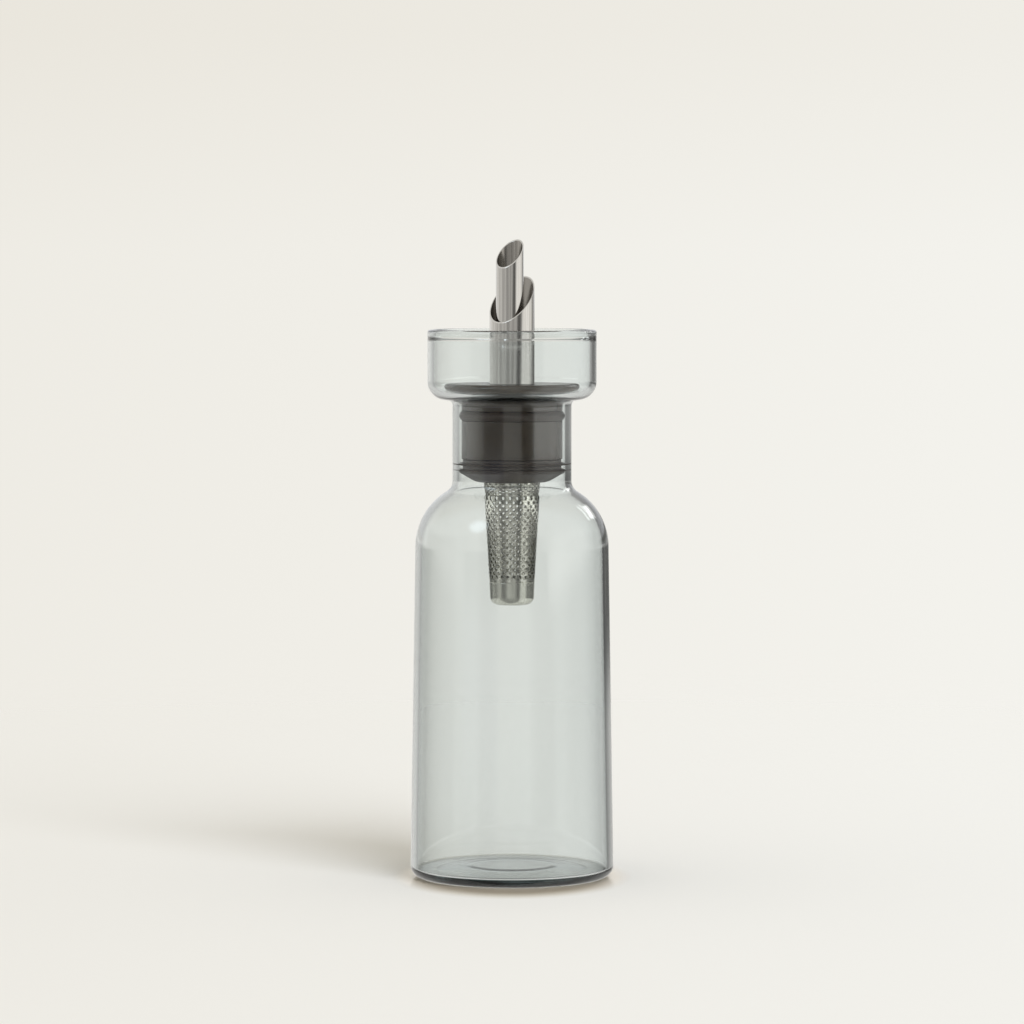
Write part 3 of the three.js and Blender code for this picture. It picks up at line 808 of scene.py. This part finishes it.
def lossShare(tree, turn, bounces, loss):
    second = mathNode(tree, "SUBTRACT", bounces, 1.0, clamp=True)
    many = smoothRange(tree, bounces, *loss["many"])
    aside = mathNode(tree, "ABSOLUTE", mathNode(tree, "SUBTRACT", turn, 0.5))
    behind = smoothRange(tree, aside, *asTurns(loss["behind"]))
    each = mathNode(tree, "MULTIPLY_ADD", behind, loss["secondBehind"], loss["second"])
    return mathNode(tree, "MULTIPLY_ADD", mathNode(tree, "MULTIPLY", many, behind), loss["manyBehind"],
                    mathNode(tree, "MULTIPLY", second, each))


def plainBackdrop(tree, direction, height, b):
    across = directionDot(tree, direction, rightward)
    lean = addNode(tree, "ShaderNodeClamp", {"Value": across, "Min": -b["reach"], "Max": b["reach"]})
    upward = mathNode(tree, "MAXIMUM", mathNode(tree, "MULTIPLY", height, b["rise"]), 0.0)
    sideways = mathNode(tree, "MULTIPLY_ADD", lean.outputs[0], b["slope"], b["middle"])
    risen = mathNode(tree, "MINIMUM", upward, b["mostRise"])
    shade = mathNode(tree, "SUBTRACT", sideways, risen, clamp=True)
    return mixColour(tree, shade, opaque(b["dim"]), opaque(b["pale"]))


def makeWorld(b):
    world = bpy.data.worlds.new("studio")
    bpy.context.scene.world = world
    world.use_nodes = True
    tree = world.node_tree
    tree.nodes.clear()
    output = addNode(tree, "ShaderNodeOutputWorld")
    direction = addNode(tree, "ShaderNodeTexCoord").outputs["Generated"]
    parts = addNode(tree, "ShaderNodeSeparateXYZ", {0: direction})
    height = parts.outputs["Z"]
    heading = mathNode(tree, "ARCTAN2", parts.outputs["Y"], parts.outputs["X"])
    wholeTurn = 2 * math.pi
    ahead = math.radians(90 - view["azimuth"])
    turn = mathNode(tree, "MULTIPLY_ADD", heading, 1 / wholeTurn, ahead / wholeTurn)
    turn = mathNode(tree, "FRACT", turn)
    path = addNode(tree, "ShaderNodeLightPath")
    bounces = path.outputs["Glossy Depth"]

    # the camera and clear glass see the backdrop, mirrors see the rings, and the rest gets an even light
    mirrored = mirroredStudio(tree, direction, turn, height, path.outputs["Transmission Depth"])
    dimmed = mixColour(tree, lossShare(tree, turn, bounces, lostLight), mirrored, opaque((0, 0, 0)))
    plain = plainBackdrop(tree, direction, height, b)
    seen = mixColour(tree, mathNode(tree, "MINIMUM", bounces, 1.0), plain, dimmed)
    looked = path.outputs["Is Camera Ray"]
    for kind in ("Is Glossy Ray", "Is Transmission Ray"):
        looked = mathNode(tree, "MAXIMUM", looked, path.outputs[kind])
    colour = mixColour(tree, looked, opaque(b["ambient"]), seen)
    background = addNode(tree, "ShaderNodeBackground", {"Color": colour, "Strength": 1.0})
    tree.links.new(background.outputs[0], output.inputs["Surface"])


makeWorld(backdrop)
print("backdrop made")

# Soft key light from the front right
key = {"bearing": 29, "rise": 39, "spread": 36, "strength": 1.68, "colour": (0.94, 0.995, 1.12)}


def makeKey(k):
    lamp = bpy.data.lights.new("key", "SUN")
    lamp.angle = math.radians(k["spread"])
    lamp.energy = k["strength"]
    lamp.color = k["colour"]
    holder = bpy.data.objects.new("key", lamp)
    holder.rotation_mode = "QUATERNION"
    holder.rotation_quaternion = (-aimAt(k["bearing"], k["rise"])).to_track_quat("-Z", "Y")
    holder.visible_glossy = False
    holder.visible_transmission = False
    bpy.context.scene.collection.objects.link(holder)


makeKey(key)
print("studio made")
